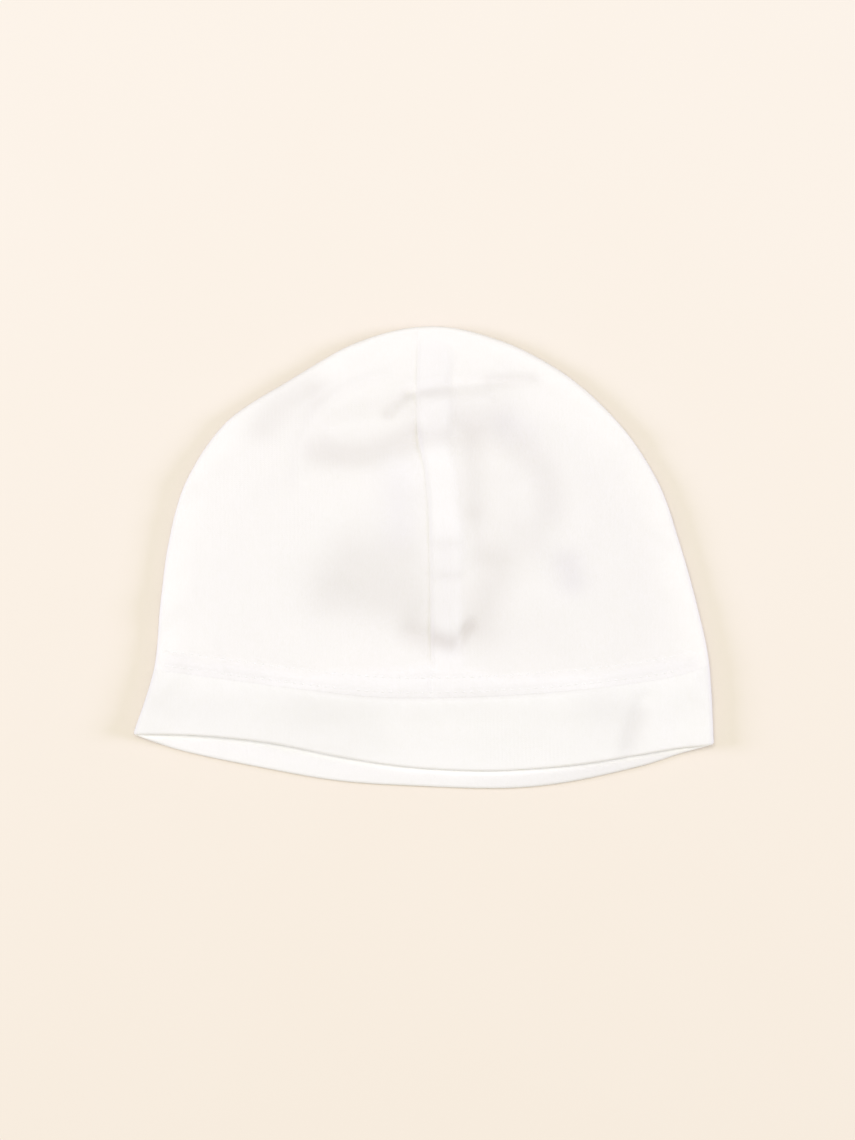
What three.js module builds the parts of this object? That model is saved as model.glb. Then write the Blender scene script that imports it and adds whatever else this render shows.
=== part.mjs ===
// A newborn's nightcap of white cotton jersey, lying on its back on a table.
// Millimetres. +Z is up, +Y points to the top of the crown, and the mouth opens towards -Y.
// The origin is on the table, under the middle of the cap.
//
// The crown is two panels, left and right, joined by one centre seam that runs from the front
// of the band over the top and down the back. The band is one strip folded double and sewn
// round the crown's lower edge. Each is a thin wall round the hollow that the head fills.
import * as THREE from "three";

// Driving dimensions.
const crownWall = 1.0; // one layer of soft jersey
const bandWall = 1.6; // the band is folded double
const seamGap = 0.3; // clearance between pieces that are sewn together
const crownEdgeRadius = 1.6; // half the thickness of the folded edge, at the crown
const bandEdgeRadius = 2.1; // the same, at the band
const radiusChange = { bandLevel: -45, crownLevel: 0 }; // levels between which it changes
const backDrop = 4.6; // how much lower the back's seam lies than the front's, in the middle
const puffReach = 46; // distance from the folded edge at which the front is fully raised
const edgeLift = { rise: 1.8, reach: 15 }; // how far the folded edge curls up off the table
const turningRise = 0.9; // how much the seam turnings inside raise the front
const centreTurning = 10.6; // width of the centre seam's turnings, to the right of the seam
const bandTurning = { width: 6.5, extraAtCentre: 5, centreSpread: 20 };
const sharpStep = 0.4; // plan width of the step at a sewn edge
const softStep = 2.4; // plan width of the fade at the free edge of the turnings
const turningsClearEdge = { from: 1, to: 6 }; // the turnings' rise fades out towards the folded edge

// Mesh fineness.
const crownRows = 34;
const crownSteps = { front: 15, back: 5 };
const bandRows = 5;
const bandSteps = { front: 38, back: 12 };
const seamDistances = [0.5, centreTurning - softStep, centreTurning]; // extra points at the turnings
const edgeDistances = [0.3, 1.0, 2.2]; // extra points close to the folded edge
const narrowRow = 30; // rows shorter than this squeeze those points together

// The folded edge seen from above, from the left hem corner over the top to the right one.
const foldTable = [
  { x: -87.0, y: -53.0 },
  { x: -80.8, y: -33.5 },
  { x: -78.9, y: -14.5 },
  { x: -76.4, y: 4.5 },
  { x: -71.0, y: 23.0 },
  { x: -59.0, y: 40.6 },
  { x: -40.0, y: 53.2 },
  { x: -19.5, y: 64.6 },
  { x: 1.5, y: 69.3 },
  { x: 22.0, y: 65.4 },
  { x: 42.0, y: 55.2 },
  { x: 58.5, y: 40.2 },
  { x: 70.2, y: 22.8 },
  { x: 77.0, y: 3.5 },
  { x: 82.0, y: -14.5 },
  { x: 85.6, y: -32.0 },
  { x: 87.0, y: -56.0 },
];
const leftSeamRow = 1; // the row of foldTable where the band seam meets the left edge
const rightSeamRow = 15; // and the right edge

// The band seam and the two hems, seen from above.
const bandSeamTable = [
  { x: -80.8, y: -33.5 },
  { x: -61.0, y: -36.2 },
  { x: -37.0, y: -39.2 },
  { x: -12.0, y: -41.7 },
  { x: 12.0, y: -41.7 },
  { x: 36.0, y: -40.4 },
  { x: 60.0, y: -38.0 },
  { x: 76.0, y: -35.4 },
  { x: 85.6, y: -32.0 },
];
const frontHemTable = [
  { x: -87.0, y: -53.0 },
  { x: -67.0, y: -53.4 },
  { x: -46.0, y: -55.6 },
  { x: -25.0, y: -59.8 },
  { x: -4.0, y: -62.9 },
  { x: 20.0, y: -64.0 },
  { x: 43.0, y: -62.5 },
  { x: 62.0, y: -59.6 },
  { x: 75.0, y: -57.4 },
  { x: 87.0, y: -56.0 },
];
const backHemTable = [
  { x: -87.0, y: -53.0 },
  { x: -73.0, y: -57.9 },
  { x: -49.0, y: -63.0 },
  { x: -25.0, y: -67.1 },
  { x: 0.0, y: -68.7 },
  { x: 24.0, y: -69.3 },
  { x: 43.0, y: -67.5 },
  { x: 65.0, y: -62.7 },
  { x: 77.0, y: -58.9 },
  { x: 87.0, y: -56.0 },
];

// The centre seam seen from above.
const centreSeamTable = [
  { y: 70.0, x: -1.8 },
  { y: 60.0, x: -2.0 },
  { y: 50.0, x: -2.2 },
  { y: 40.0, x: -2.1 },
  { y: 33.0, x: -1.2 },
  { y: 26.0, x: 0.2 },
  { y: 18.0, x: 1.0 },
  { y: 10.0, x: 1.5 },
  { y: -12.0, x: 1.9 },
  { y: -48.0, x: 2.4 },
];

// How far the front stands above the closed thickness, far from the folded edge.
const puffTable = [
  { y: -66.0, height: 3.9 },
  { y: -50.0, height: 4.8 },
  { y: -40.0, height: 5.7 },
  { y: -25.0, height: 6.4 },
  { y: 0.0, height: 8.8 },
  { y: 20.0, height: 10.8 },
  { y: 40.0, height: 11.4 },
  { y: 55.0, height: 10.8 },
  { y: 70.0, height: 9.6 },
];

// Folds and dents of the front: each runs from one point to another, bowed sideways by bend,
// with its width and its rise above the cloth round it. A negative rise is a hollow.
const foldsTable = [
  { name: "shoulder ridge", x1: -13, y1: 55, x2: -37, y2: 23, bend: -8.5, width: 3.2, rise: 1.1 },
  { name: "shoulder hollow", x1: -52, y1: 41, x2: -31, y2: 52, bend: 1.5, width: 5.0, rise: -1.0 },
  { name: "tuck ridge", x1: -27, y1: 39, x2: -5, y2: 42, bend: 0.5, width: 4.4, rise: 1.2 },
  { name: "tuck hollow", x1: -31, y1: 31, x2: -3, y2: 35, bend: -2.6, width: 3.8, rise: -1.2 },
  { name: "crossing crease", x1: -8, y1: 48, x2: 33, y2: 53.5, bend: 0.5, width: 2.6, rise: -1.0 },
  { name: "seam trough", x1: 14, y1: 39, x2: 18, y2: -2, bend: 1.5, width: 4.2, rise: -1.0 },
  { name: "right hollow", x1: 27, y1: 35, x2: 41, y2: 14, bend: 4, width: 5.5, rise: -0.8 },
  { name: "right dimple", x1: 41, y1: -3, x2: 43, y2: -7, bend: 0, width: 5.0, rise: -0.7 },
  { name: "lower hollow", x1: -28, y1: -16, x2: 2, y2: -20, bend: -2, width: 9.0, rise: -1.3 },
  { name: "pocket", x1: -4, y1: -23, x2: 9, y2: -25.5, bend: -0.5, width: 4.8, rise: -1.3 },
  { name: "strip dip", x1: -1, y1: 35, x2: 10, y2: 35.5, bend: 0.3, width: 3.4, rise: -0.6 },
  { name: "band crease", x1: 61, y1: -60, x2: 66, y2: -42, bend: 1, width: 2.8, rise: -0.8 },
];
const foldSamples = 10;
const foldsClearEdge = { from: 3, to: 12 }; // folds fade out towards the folded edge
const curveSamples = 20; // points on each stretch of a curve between two rows of its table
const seamSearch = { from: 0.4, to: 0.6 }; // the stretch of the edge that the centre seam meets
const searchRounds = 40; // halvings in a search along the edge
const meetingRounds = 6; // steps in finding where a row of the band meets the folded edge

// A smooth curve through two columns of a table.
function curveThrough(table, across, along) {
  return new THREE.SplineCurve(table.map((row) => new THREE.Vector2(row[across], row[along])));
}

// A smooth function of one column of a table, giving another column.
function smoothColumn(table, from, to) {
  const points = curveThrough(table, from, to).getPoints(curveSamples * (table.length - 1));
  const rising = points[0].x < points[points.length - 1].x ? points : points.reverse();
  return (value) => {
    const next = Math.max(1, rising.findIndex((point) => point.x >= value));
    const after = value > rising[rising.length - 1].x ? rising.length - 1 : next;
    const a = rising[after - 1];
    const b = rising[after];
    return THREE.MathUtils.lerp(a.y, b.y, (value - a.x) / (b.x - a.x));
  };
}

const foldCurve = curveThrough(foldTable, "x", "y");
const foldPolyline = foldCurve.getPoints(curveSamples * (foldTable.length - 1));
const bandSeamY = smoothColumn(bandSeamTable, "x", "y");
const frontHemY = smoothColumn(frontHemTable, "x", "y");
const backHemY = smoothColumn(backHemTable, "x", "y");
const centreSeamX = smoothColumn(centreSeamTable, "y", "x");
const puffHeight = smoothColumn(puffTable, "y", "height");
const smoothstep = THREE.MathUtils.smoothstep;
const lerp = THREE.MathUtils.lerp;

// The distance from a point to a line of points.
function distanceTo(line, x, y) {
  let nearest = Infinity;
  for (let i = 1; i < line.length; i++) {
    const ax = line[i - 1].x;
    const ay = line[i - 1].y;
    const dx = line[i].x - ax;
    const dy = line[i].y - ay;
    const along = THREE.MathUtils.clamp(
      ((x - ax) * dx + (y - ay) * dy) / (dx * dx + dy * dy), 0, 1);
    nearest = Math.min(nearest, Math.hypot(x - ax - along * dx, y - ay - along * dy));
  }
  return nearest;
}

// Each fold's own line, bowed sideways by its bend.
const folds = foldsTable.map((fold) => {
  const length = Math.hypot(fold.x2 - fold.x1, fold.y2 - fold.y1);
  const side = new THREE.Vector2(-(fold.y2 - fold.y1), fold.x2 - fold.x1).divideScalar(length);
  const middle = new THREE.Vector2((fold.x1 + fold.x2) / 2, (fold.y1 + fold.y2) / 2);
  const bow = new THREE.QuadraticBezierCurve(
    new THREE.Vector2(fold.x1, fold.y1),
    middle.addScaledVector(side, 2 * fold.bend),
    new THREE.Vector2(fold.x2, fold.y2));
  return { ...fold, line: bow.getPoints(foldSamples) };
});

// Half the thickness of the folded edge, which grows from the crown to the band.
function edgeRadius(y) {
  const { bandLevel, crownLevel } = radiusChange;
  return lerp(bandEdgeRadius, crownEdgeRadius, smoothstep(y, bandLevel, crownLevel));
}

// How far the cap's edge curls up off the table, which raises both faces.
function lift(fromEdge) {
  return edgeLift.rise * (1 - smoothstep(fromEdge, 0, edgeLift.reach));
}

// How much the front is raised by the air in the cap and by its folds.
function puff(x, y, fromEdge) {
  const raised = puffHeight(y) * smoothstep(fromEdge, edgeRadius(y), puffReach);
  const creased = folds.reduce(
    (sum, fold) => sum + fold.rise * Math.exp(-((distanceTo(fold.line, x, y) / fold.width) ** 2)), 0);
  return raised + creased * smoothstep(fromEdge, foldsClearEdge.from, foldsClearEdge.to);
}

// How much the seam turnings inside the cap raise the outer face of the front.
function turnings(x, y, fromEdge) {
  const right = x - centreSeamX(y);
  const centre = smoothstep(right, 0, sharpStep)
    * (1 - smoothstep(right, centreTurning - softStep, centreTurning));
  const above = y - bandSeamY(x);
  const width = bandTurning.width
    + bandTurning.extraAtCentre * Math.exp(-((x / bandTurning.centreSpread) ** 2));
  const band = smoothstep(above, -sharpStep, 0) * (1 - smoothstep(above, width - softStep, width));
  const clear = smoothstep(fromEdge, turningsClearEdge.from, turningsClearEdge.to);
  return turningRise * Math.max(centre, band) * clear;
}

// The rounded profile of the folded edge: 0 at its rim, 1 from one radius inwards.
function edgeRound(y, fromEdge, inset) {
  const radius = edgeRadius(y);
  const out = THREE.MathUtils.clamp((radius - fromEdge) / (radius - inset), 0, 1);
  return Math.sqrt(1 - out * out);
}

// Height of the front or back wall at a point in plan. The inset is 0 on the outer face and
// the wall's thickness on the inner one.
function heightAt(sheet, x, y, inset, withTurnings) {
  const fromEdge = distanceTo(foldPolyline, x, y);
  const radius = edgeRadius(y);
  const round = (radius - inset) * edgeRound(y, fromEdge, inset);
  const middle = radius + lift(fromEdge);
  if (sheet === "back") return middle - round;
  const extra = withTurnings && inset === 0 ? turnings(x, y, fromEdge) : 0;
  return middle + round + puff(x, y, fromEdge) + extra;
}

// A point of the folded edge at a fraction of the way along it, moved inwards by the inset.
function edgePoint(fraction, inset) {
  const point = foldCurve.getPoint(fraction);
  const tangent = foldCurve.getTangent(fraction);
  return new THREE.Vector2(point.x + tangent.y * inset, point.y - tangent.x * inset);
}

// The point of the left or right folded edge at a level of the band, moved inwards by the inset.
function bandEdgePoint(side, level, inset) {
  const seamRow = side < 0 ? leftSeamRow : rightSeamRow;
  const hemRow = side < 0 ? 0 : foldTable.length - 1;
  let seam = seamRow / (foldTable.length - 1);
  let hem = hemRow / (foldTable.length - 1);
  for (let i = 0; i < searchRounds; i++) {
    const middle = (seam + hem) / 2;
    if (foldCurve.getPoint(middle).y > level) seam = middle;
    else hem = middle;
  }
  return edgePoint(seam, inset);
}

// Where along the folded edge one panel's side of the centre seam meets it.
function seamFraction(side) {
  let low = seamSearch.from;
  let high = seamSearch.to;
  for (let i = 0; i < searchRounds; i++) {
    const middle = (low + high) / 2;
    const point = foldCurve.getPoint(middle);
    if (point.x < centreSeamX(point.y) + side * seamGap / 2) low = middle;
    else high = middle;
  }
  return low;
}

// Fractions along a row from its start to the folded edge. Extra points lie close to the edge,
// and at the given distances from the start.
function rowFractions(steps, length, startDistances) {
  const squeeze = Math.min(1, length / narrowRow) / length;
  const start = [0, ...startDistances.map((distance) => distance * squeeze)];
  const near = edgeDistances.map((distance) => 1 - distance * squeeze).reverse();
  const from = start[start.length - 1];
  const even = Array.from({ length: steps - 1 }, (_, i) => lerp(from, near[0], (i + 1) / steps));
  return [...start, ...even, ...near, 1];
}

// The level of the band seam, on the front or the back.
function bandSeamLevel(sheet, x) {
  const end = foldTable[x < 0 ? leftSeamRow : rightSeamRow].x;
  const across = Math.min(1, x / end);
  return bandSeamY(x) - (sheet === "back" ? backDrop * (1 - across * across) : 0);
}

// A closed mesh from a list of closed rings with equal counts. The ends are closed by caps,
// each a strip between the ring's first half and its second half, or by tip points.
function closedMesh(rings, tips, looped) {
  const count = rings[0].length;
  const positions = rings.flat();
  const faces = [];
  const quad = (a, b, c, d) => faces.push(a, b, c, a, c, d);
  const spans = looped ? rings.length : rings.length - 1;
  for (let j = 0; j < spans; j++) {
    for (let i = 0; i < count; i++) {
      const next = (i + 1) % count;
      const row = j * count;
      const after = ((j + 1) % rings.length) * count;
      quad(row + i, row + next, after + next, after + i);
    }
  }
  if (tips) {
    const half = count / 2;
    for (let i = 0; i < half - 1; i++) quad(i, count - 1 - i, count - 2 - i, i + 1);
    const last = (rings.length - 1) * count;
    const outerTip = positions.push(tips.outer) - 1;
    const innerTip = positions.push(tips.inner) - 1;
    for (let i = 0; i < half - 1; i++) {
      faces.push(last + i, last + i + 1, outerTip);
      faces.push(last + half + i, last + half + i + 1, innerTip);
    }
    quad(last + half - 1, last + half, innerTip, outerTip);
    quad(last + count - 1, last, outerTip, innerTip);
  }
  const geometry = new THREE.BufferGeometry();
  geometry.setAttribute("position",
    new THREE.Float32BufferAttribute(positions.flatMap((p) => [p.x, p.y, p.z]), 3));
  geometry.setIndex(faces);
  geometry.computeVertexNormals();
  return geometry;
}

// Turns every face of a geometry round.
function turnedRound(geometry) {
  const index = geometry.getIndex().array;
  for (let i = 0; i < index.length; i += 3) [index[i + 1], index[i + 2]] = [index[i + 2], index[i + 1]];
  geometry.computeVertexNormals();
  return geometry;
}

// One crown panel: side is -1 for the left and 1 for the right.
function crownPanel(side) {
  const seamRow = side < 0 ? leftSeamRow : rightSeamRow;
  const bottom = seamRow / (foldTable.length - 1);
  const top = seamFraction(side);
  const topLevel = edgePoint(top, 0).y;

  // The two ends of a row, at the seam and at the folded edge.
  function rowEnds(v, inset) {
    const level = lerp(bandSeamLevel("front", 0), topLevel - inset, Math.sin((v * Math.PI) / 2));
    const seam = new THREE.Vector2(centreSeamX(level) + (side * seamGap) / 2, level);
    return { seam, edge: edgePoint(lerp(bottom, top, v), inset) };
  }

  // One face's line of points in a row: from the seam, round the folded edge, back to the seam.
  // The lowest row follows the band seam, and the rows above it lose that sag.
  function rowLine(v, inset) {
    const row = rowEnds(v, inset);
    const lowest = rowEnds(0, inset);
    const line = (sheet) => {
      const extra = side > 0 && sheet === "front" ? seamDistances : [];
      const length = row.seam.distanceTo(row.edge);
      return rowFractions(crownSteps[sheet], length, extra).map((f) => {
        const at = row.seam.clone().lerp(row.edge, f);
        const under = lowest.seam.clone().lerp(lowest.edge, f);
        at.y += (bandSeamLevel(sheet, under.x) - under.y) * (1 - v) ** 2;
        return new THREE.Vector3(at.x, at.y, heightAt(sheet, at.x, at.y, inset, true));
      });
    };
    return [...line("front"), ...line("back").reverse().slice(1)];
  }

  const rings = [];
  for (let j = 0; j < crownRows; j++) {
    const v = j / crownRows;
    rings.push([...rowLine(v, 0), ...rowLine(v, crownWall).reverse()]);
  }
  const tip = (inset) => {
    const point = edgePoint(top, inset);
    return new THREE.Vector3(point.x, point.y, edgeRadius(point.y) + edgeLift.rise);
  };
  const geometry = closedMesh(rings, { outer: tip(0), inner: tip(crownWall) }, false);
  return side < 0 ? turnedRound(geometry) : geometry;
}

// The band: a ring whose wall is folded double, with a rounded hem and a square sewn edge.
function bandRing() {
  const hemRadius = bandWall / 2;

  // The whole ring of points at a level between the sewn edge, 0, and the hem, 1.
  function level(v, inset, beyond) {
    const yAt = (sheet, x) => {
      const hem = (sheet === "front" ? frontHemY(x) : backHemY(x)) + hemRadius - beyond;
      return lerp(bandSeamLevel(sheet, x) - seamGap, hem, v);
    };
    const endOn = (side) => {
      let end = bandEdgePoint(side, foldTable[side < 0 ? leftSeamRow : rightSeamRow].y, inset);
      let along = end.y;
      for (let i = 0; i < meetingRounds; i++) {
        along += yAt("front", end.x) - end.y;
        end = bandEdgePoint(side, along, inset);
      }
      return end;
    };
    const left = endOn(-1);
    const right = endOn(1);
    const middle = new THREE.Vector2((left.x + right.x) / 2, (left.y + right.y) / 2);
    const half = (sheet, end) => rowFractions(
      bandSteps[sheet] / 2, middle.distanceTo(end), []).map((f) => {
      const x = lerp(middle.x, end.x, f);
      const y = yAt(sheet, x);
      return new THREE.Vector3(x, y, heightAt(sheet, x, y, inset, false));
    });
    const front = [...half("front", left).reverse().slice(0, -1), ...half("front", right)];
    const back = [...half("back", right).reverse().slice(1, -1), ...half("back", left).slice(0, -1)];
    return [...front, ...back];
  }

  const rings = [];
  for (let j = 0; j <= bandRows; j++) rings.push(level(j / bandRows, 0, 0));
  for (const turn of [45, 90, 135]) {
    const angle = THREE.MathUtils.degToRad(turn);
    rings.push(level(1, hemRadius * (1 - Math.cos(angle)), hemRadius * Math.sin(angle)));
  }
  for (let j = bandRows; j >= 0; j--) rings.push(level(j / bandRows, bandWall, 0));
  return turnedRound(closedMesh(rings, null, true));
}

function piece(name, geometry, colour) {
  const cotton = new THREE.MeshStandardMaterial({ color: colour, roughness: 0.95, metalness: 0 });
  const mesh = new THREE.Mesh(geometry, cotton);
  mesh.name = name;
  return mesh;
}

const cap = new THREE.Group();
cap.add(piece("crown_left", crownPanel(-1), 0xf8f6f3));
cap.add(piece("crown_right", crownPanel(1), 0xf8f6f3));
cap.add(piece("band", bandRing(), 0xfaf8f5));
export default cap;
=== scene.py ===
import math

import bmesh
import bpy
import numpy as np
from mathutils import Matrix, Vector


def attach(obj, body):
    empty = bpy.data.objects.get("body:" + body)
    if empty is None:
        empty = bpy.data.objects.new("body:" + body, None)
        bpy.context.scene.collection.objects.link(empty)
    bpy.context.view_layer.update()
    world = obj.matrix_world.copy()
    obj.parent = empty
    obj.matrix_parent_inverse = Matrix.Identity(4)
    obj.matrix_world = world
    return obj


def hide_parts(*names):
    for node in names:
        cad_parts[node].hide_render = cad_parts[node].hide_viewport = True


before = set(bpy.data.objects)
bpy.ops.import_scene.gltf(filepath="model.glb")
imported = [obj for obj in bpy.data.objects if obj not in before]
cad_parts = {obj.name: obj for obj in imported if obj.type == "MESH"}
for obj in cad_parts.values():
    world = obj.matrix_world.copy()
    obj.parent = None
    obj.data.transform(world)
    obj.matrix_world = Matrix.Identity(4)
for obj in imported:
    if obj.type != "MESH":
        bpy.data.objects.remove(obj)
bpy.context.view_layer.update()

MM = 0.001

# Sizes of the cap. A pair is where something starts and where it is complete.
CROWN_WALL = 1.0
BAND_WALL = 1.6
SEAM_GAP = 0.012
CROWN_EDGE_RADIUS = 1.6
BAND_EDGE_RADIUS = 2.1
RADIUS_CHANGE = (-45.0, 0.0)
BACK_DROP = 4.6
PUFF_REACH = 46.0
EDGE_LIFT = 1.8
EDGE_LIFT_REACH = 15.0
HEM_LIFT = 0.35
HEM_LIFT_REACH = 9.0
HEM_RADIUS = BAND_WALL / 2

# Waves of the rim and puckers at the band seam, as length and rise, and their slants in plan.
EDGE_WAVES = ((37.0, 0.22), (23.0, 0.14), (14.0, 0.06))
EDGE_WAVE_SLANTS = (1.7, -1.3)
PUCKERS = ((5.3, 0.05), (3.7, 0.035), (8.9, 0.06))
PUCKER_SLANT = 0.4
PUCKER_REACH = (-4.0, 0.0, 7.0, 11.0)

# Low waves all over the cloth, as length, rise and how many, and how much a length varies.
UNDULATION = ((38.0, 0.11, 5), (17.0, 0.03, 7), (7.5, 0.006, 9))
UNDULATION_STRETCH = (0.8, 1.25)
UNDULATION_SEED = 7

# The turnings inside the seams. The centre seam's lie to its right. The band seam's lie above it
# and reach further up near the middle: the extra is how far, and over what width.
TURNING_RISE = 0.8
TURNINGS_CLEAR_EDGE = (1.0, 6.0)
CENTRE_TURNING = 10.6
CENTRE_TURNING_FADES = (60.0, 67.0)
CENTRE_TURNING_FADE = 0.7
CENTRE_TURNING_ARCH = 0.2
CENTRE_TURNING_LEVEL = 0.9
SEWN_SIDE = (-0.4, 1.6)
FREE_SIDE = (-2.6, 0.8)
ABOVE_BAND_SEAM = (-0.6, 0.2)
BAND_TURNING = 6.5
BAND_TURNING_EXTRA = (5.0, 20.0)
BAND_TURNING_SOFT = 3.4
BAND_LEVELLED = (-15.0, -1.0)

# How uneven the turnings are, as length, rise and start.
FREE_SIDE_RIPPLE = ((7.0, 0.5, 1.0), (3.1, 0.3, 0.0))
CENTRE_TURNING_RIPPLE = ((5.3, 0.1, 0.0),)
BAND_TURNING_RIPPLE = ((4.7, 0.4, 0.0), (2.3, 0.3, 1.0))

# Grooves of the seams and the stitching, as depth and width.
CENTRE_GROOVE = (0.32, 1.0)
BAND_GROOVE = (0.4, 0.9)
CENTRE_STITCH_GROOVE = (0.2, 0.8)
BAND_STITCH_GROOVE = (0.2, 0.6)
GROOVES_END_BELOW_SEAM = 0.5
CENTRE_STITCHES_END = (0.0, 30.0)
FRONT_GROOVES_CLEAR_EDGE = (0.5, 4)
BACK_GROOVES_CLEAR_EDGE = (2, 6)

# Where along the band seam it starts and stops being drawn in, and how much it is elsewhere.
SEAM_DRAWN_FROM = (-42.0, -24.0)
SEAM_DRAWN_TO = (34.0, 58.0)
SEAM_DRAWN_LEAST = 0.3

# The top stitching: how far above the band seam its rows lie, how long a stitch is, which part
# of it shows, and how far to each side the rows reach.
BAND_STITCH_LEVELS = (1.6, 6.0)
STITCH_PITCH = 2.4
STITCH_SPAN = (0.08, 0.86)
STITCHED_REACH = 78.0
STITCH_RINGS = 6
STITCH_SIDES = 6

# Its thread, thinner and sunk into the cloth at both ends of a stitch.
THREAD_RADIUS = 0.16
THREAD_ARCH = 1.7
THREAD_SUNK = 1.3
THREAD_END = 0.6
THREAD_LOWEST = 0.01
THREAD_TWIST = 0.35

# The view: the camera's height above the cap, and what it takes in, in metres.
CAMERA_HEIGHT = 1.0
VIEW_HEIGHT = 0.342
VIEW_CENTRE = (0.0012, -0.00375)
CAP_PLANE = 0.0025

# The light of the room, of the window and of a soft light at each side, in metres and watts.
ROOM_COLOUR = (1.0, 0.985, 0.78, 1)
ROOM_STRENGTH = 0.476
WINDOW_PLACE = (-0.15, 0.35, 2.8)
WINDOW_SIZE = 1.4
WINDOW_POWER = 42.8
WINDOW_COLOUR = (1.0, 1.0, 0.87)
SOFTBOX_PLACE = (1.5, 0.1, 0.8)
SOFTBOX_SIZE = 0.7
SOFTBOX_POWER = 8.6
SOFTBOX_COLOUR = (1.0, 1.02, 1.6)

# Colours. Cloth goes from the first to the second as its stored whiteness rises: from more white
# lying close under it, and from painted light and shade.
CROWN_COLOURS = ((0.728, 0.696, 0.674, 1), (0.853, 0.830, 0.815, 1))
BAND_COLOURS = ((0.718, 0.694, 0.676, 1), (0.957, 0.942, 0.93, 1))
COOL_TINT = (0.985, 0.985, 1.02, 1)
THREAD_COLOURS = ((0.77, 0.76, 0.745, 1), (0.84, 0.83, 0.815, 1))
CLOTH_TONE = 0.975
CLOTH_MOTTLE = 0.02
CLOTH_MOTTLE_SIZE = 9.0
CLOTH_YARN_TONE = 0.015
FUZZ_SIZE = 0.35

# The table top: its colours in front and behind, the length over which they change and half
# its width, both in metres, and its mottle.
# Painted light: the colour behind is lighter, standing in for light falling off away from the
# window.
TABLE_COLOURS = ((0.756, 0.682, 0.598, 1), (0.775, 0.713, 0.650, 1))
TABLE_TONE_LENGTH = 0.36
TABLE_HALF_WIDTH = 1.6
TABLE_TONE_MIDDLE = 0.35
TABLE_MOTTLE = 0.3
TABLE_MOTTLE_SIZE = 60.0

# The knit: how far apart its columns and its rows lie, and the shape of a stitch.
WALE = 0.8
COURSE = 0.62
LEG_SLANT = 1.7
LOOP_FLOOR = 0.4

# The folded edge seen from above, from the left hem corner over the top to the right one.
FOLD = np.array([
    (-87.0, -53.0), (-80.8, -33.5), (-78.9, -14.5), (-76.4, 4.5), (-71.0, 23.0), (-59.0, 40.6),
    (-40.0, 53.2), (-19.5, 64.6), (1.5, 69.3), (22.0, 65.4), (42.0, 55.2), (58.5, 40.2),
    (70.2, 22.8), (77.0, 3.5), (82.0, -14.5), (85.6, -32.0), (87.0, -56.0),
])
LEFT_SEAM_ROW = 1
RIGHT_SEAM_ROW = 15

# The band seam and the two hems seen from above, as x and y.
BAND_SEAM = np.array([
    (-80.8, -33.5), (-61.0, -36.2), (-37.0, -39.2), (-12.0, -41.7), (12.0, -41.7),
    (36.0, -40.4), (60.0, -38.0), (76.0, -35.4), (85.6, -32.0),
])
FRONT_HEM = np.array([
    (-87.0, -53.0), (-67.0, -53.4), (-46.0, -55.6), (-25.0, -59.8), (-4.0, -62.9),
    (20.0, -64.0), (43.0, -62.5), (62.0, -59.6), (75.0, -57.4), (87.0, -56.0),
])
BACK_HEM = np.array([
    (-87.0, -53.0), (-73.0, -57.9), (-49.0, -63.0), (-25.0, -67.1), (0.0, -68.7),
    (24.0, -69.3), (43.0, -67.5), (65.0, -62.7), (77.0, -58.9), (87.0, -56.0),
])

# The centre seam seen from above, as y and x.
CENTRE_SEAM = np.array([
    (-48.0, 2.4), (-12.0, 1.9), (10.0, 1.5), (18.0, 1.0), (26.0, 0.2), (33.0, -1.2),
    (40.0, -2.1), (50.0, -2.2), (60.0, -2.0), (70.0, -1.8),
])

# How far the front stands above the closed thickness, far from the edge, as y and height.
PUFF = np.array([
    (-66.0, -0.55), (-58.0, 0.65), (-50.0, 2.3), (-40.0, 4.2), (-25.0, 5.2), (0.0, 8.4),
    (20.0, 10.6), (40.0, 11.4), (55.0, 10.8), (70.0, 9.6),
])

# Folds and dents of the front: from x, y to x, y, the sideways bow, the width and the rise.
FOLDS = [
    ("shoulder ridge", -13, 55, -37, 23, -8.5, 2.6, 0.75),
    ("shoulder hollow", -52, 41, -31, 52, 1.5, 5.0, -0.9),
    ("tuck ridge", -27, 39, -5, 42, 0.5, 4.2, 1.1),
    ("tuck hollow", -31, 31, -3, 35, -2.6, 3.8, -1.15),
    ("apex diagonal", -10, 43, -4.5, 49, 0.5, 1.6, -0.8),
    ("crossing crease", -4.5, 49.6, 33, 53.5, 0.5, 1.9, -0.9),
    ("under the crease", 3, 46.2, 19, 47.6, 0.3, 2.0, 0.5),
    ("right shade", 9, 41, 28, 38, -1.5, 6.0, -0.7),
    ("seam trough", 14, 38, 18, -2, 1.5, 4.0, -0.9),
    ("right hollow", 27, 35, 41, 14, 4.0, 5.5, -0.8),
    ("right dimple", 41, -3, 43, -7, 0.0, 5.0, -0.6),
    ("lower hollow", -26, -15, 2, -19, -2.0, 9.0, -1.1),
    ("pocket", -4, -23, 9, -25.5, -0.5, 4.0, -1.15),
    ("pocket crease", 14.5, -19.0, 9.8, -28.0, -0.6, 1.3, -0.6),
    ("strip dip", -1, 35, 10, 35.5, 0.3, 2.6, -0.55),
    ("strip lower dip", 2, 3.5, 11, 3.5, 0.0, 2.0, -0.22),
    ("strip low dip", 2, -6, 11, -6, 0.0, 1.6, -0.16),
    ("top crease", 11, 62, 8.5, 53, 0.5, 1.7, -0.4),
    ("top left crease", -4.5, 67, -4.0, 62, 0.0, 1.3, -0.25),
    ("band crease", 61.5, -57, 66, -42, 1.0, 2.4, -0.6),
    ("band facet", 70, -56, 73, -41, 0.5, 4.5, 0.5),
    ("band left shade", -42, -41, -30, -50, 1.0, 6.0, -0.2),
]
# How far from the edge they start, and at how many widths from its line a fold is left out.
FOLDS_CLEAR_EDGE = (3.0, 12.0)
FOLD_SEEN = 3.2
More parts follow.
